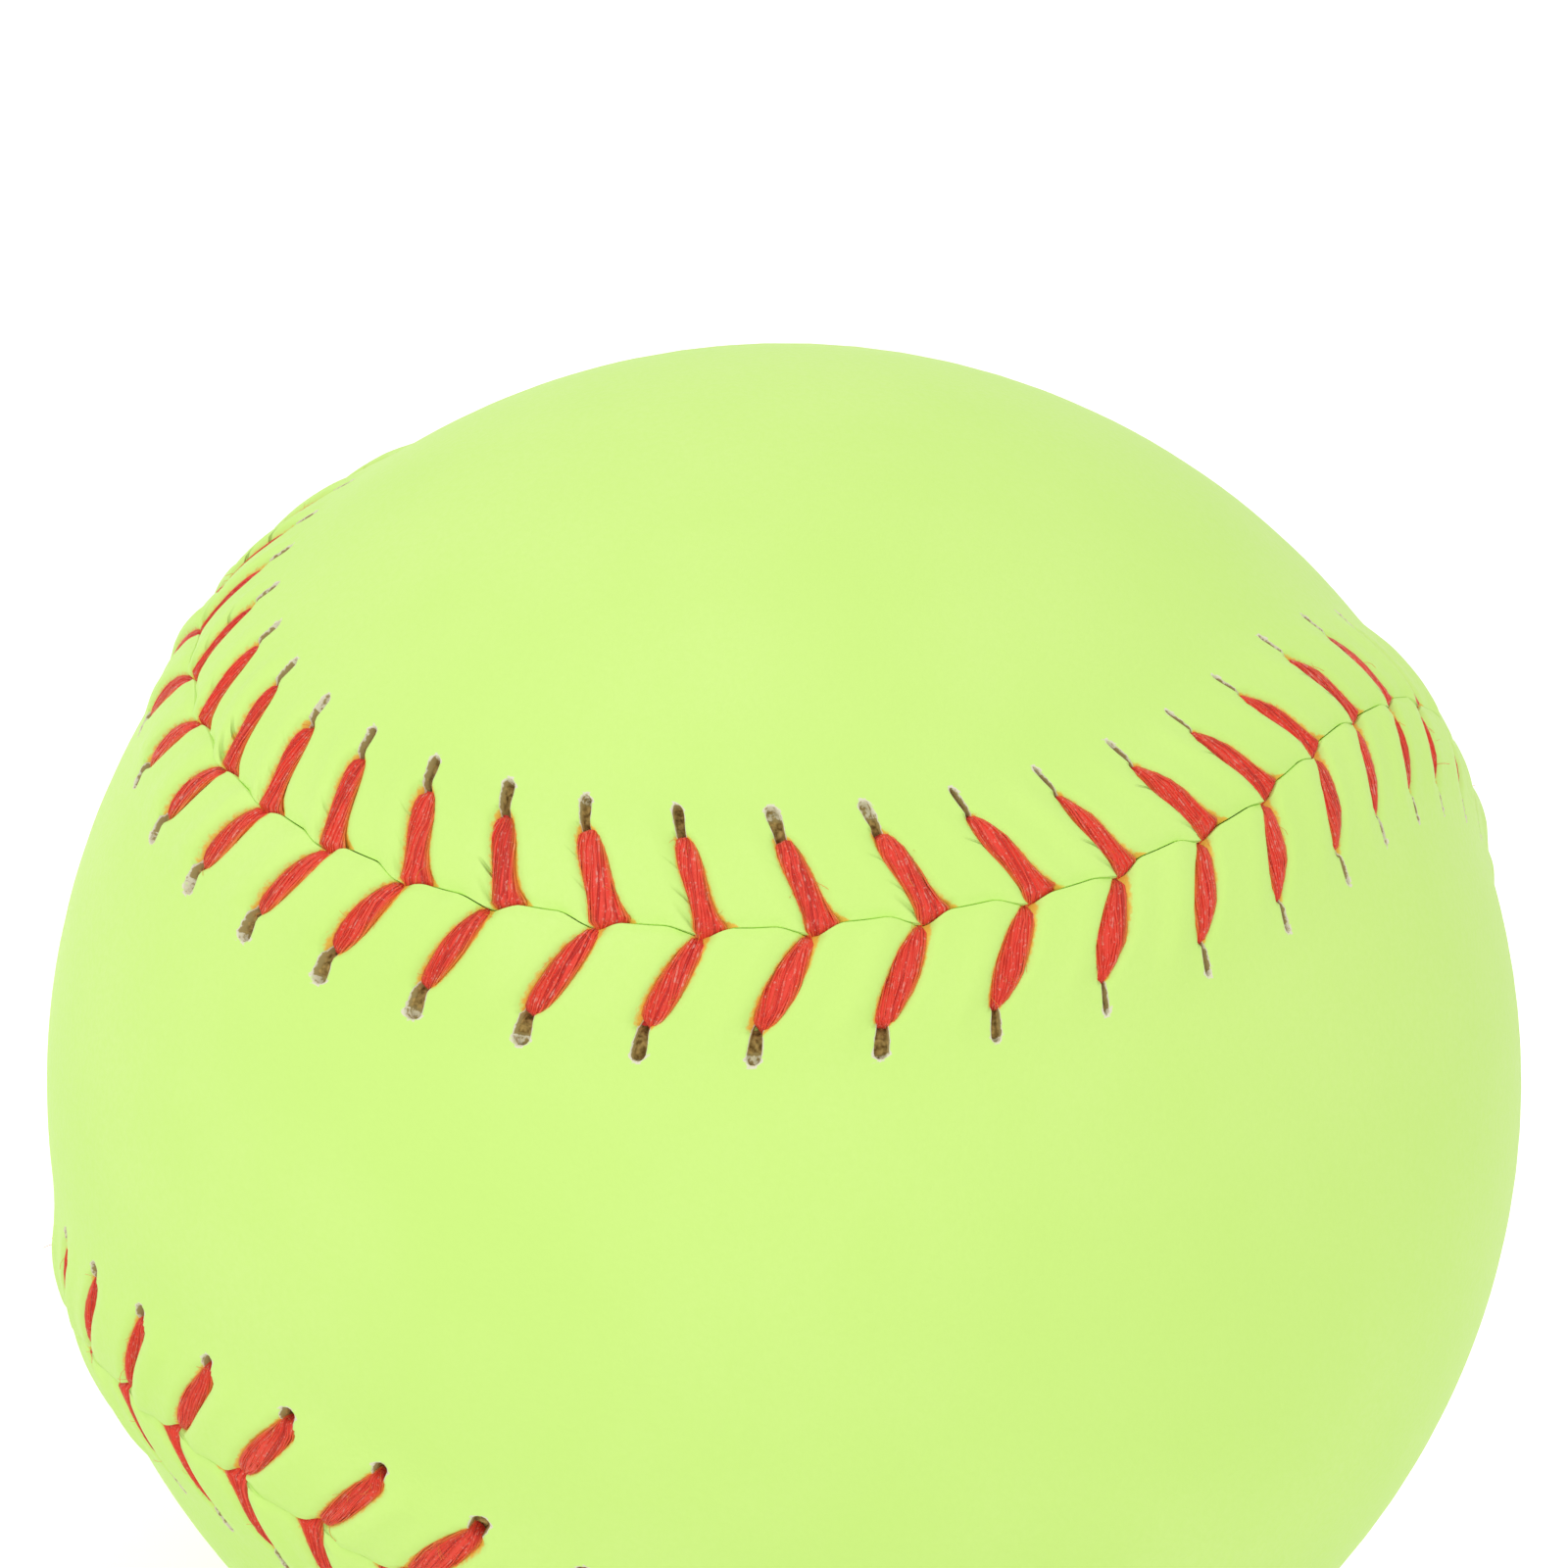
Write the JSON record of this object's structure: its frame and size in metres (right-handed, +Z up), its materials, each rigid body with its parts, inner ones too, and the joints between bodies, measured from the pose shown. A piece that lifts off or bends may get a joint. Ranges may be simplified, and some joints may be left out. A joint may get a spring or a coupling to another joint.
{
  "type": "softball",
  "caption": "Round optic yellow leather ball with a raised herringbone seam in red waxed thread, for throwing, catching and batting",
  "frame": {"origin": "centre of the ball", "axes": "+Z up; -Y through the middle of the front panel's waist, +Y through the rear panel's; +X beside the front panel's right lobe; +Y is the axis of symmetry of the seam"},
  "size_m": [0.097, 0.097, 0.097],
  "materials": {
    "cork_core": "matt moulded cork and rubber",
    "yarn": "wound wool and cotton yarn",
    "leather": "dyed, fine grain, soft sheen",
    "thread": "waxed twisted thread"
  },
  "bodies": {
    "root": {"core": "cork_core", "winding": "yarn", "front_panel": "leather", "rear_panel": "leather", "first_thread": "thread", "second_thread": "thread"}
  },
  "joints": []
}
